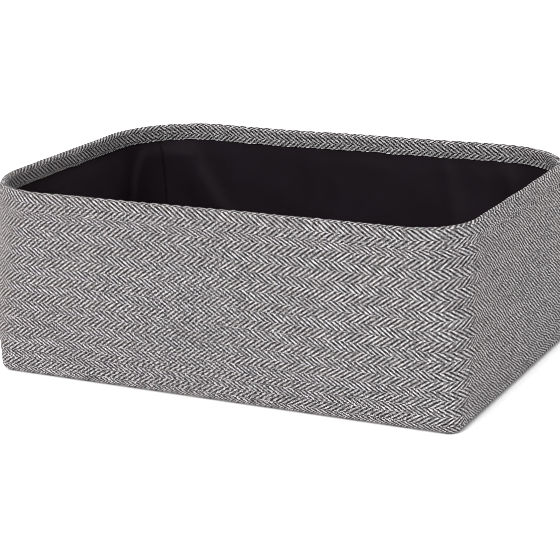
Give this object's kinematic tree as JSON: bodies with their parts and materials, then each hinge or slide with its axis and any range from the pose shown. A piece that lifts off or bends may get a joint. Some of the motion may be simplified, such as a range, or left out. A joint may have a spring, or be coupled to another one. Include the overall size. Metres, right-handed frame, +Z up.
{
  "type": "fabric storage bin",
  "caption": "Rectangular soft-sided storage bin in black and white herringbone cloth on a wire rim, with a black lining and a lift-out base insert.",
  "frame": {"origin": "middle of the underside, on the surface that the bin stands on", "axes": "+X along the long side, -Y towards the front, +Z up"},
  "size_m": [0.427, 0.289, 0.16],
  "materials": {
    "herringbone": "woven herringbone in black and off-white yarn, horizontal rows about 8 mm high, matte",
    "lining": "plain-woven black polyester, faint sheen",
    "thread": "grey sewing thread",
    "lining_thread": "black sewing thread",
    "greyboard": "uncoated grey paperboard",
    "wire": "drawn spring-steel wire",
    "sleeve": "crimped tube"
  },
  "bodies": {
    "bin": {"outer_wall_fabric": "herringbone", "outer_base_panel": "herringbone", "base_seam_thread": "thread", "side_seam_thread": "thread", "rim_wire": "wire", "rim_wire_sleeve": "sleeve", "rim_stitching": "thread", "front_board": "greyboard", "back_board": "greyboard", "left_board": "greyboard", "right_board": "greyboard", "lining_wall": "lining", "lining_floor": "lining", "lining_seam_thread": "lining_thread"},
    "insert": {"insert_board": "greyboard", "insert_cover": "lining"}
  },
  "joints": [
    {"name": "insert_lift", "type": "slide", "parent": "bin", "child": "insert", "axis": [0, 0, 1], "range_m": [0, 0.17]}
  ]
}
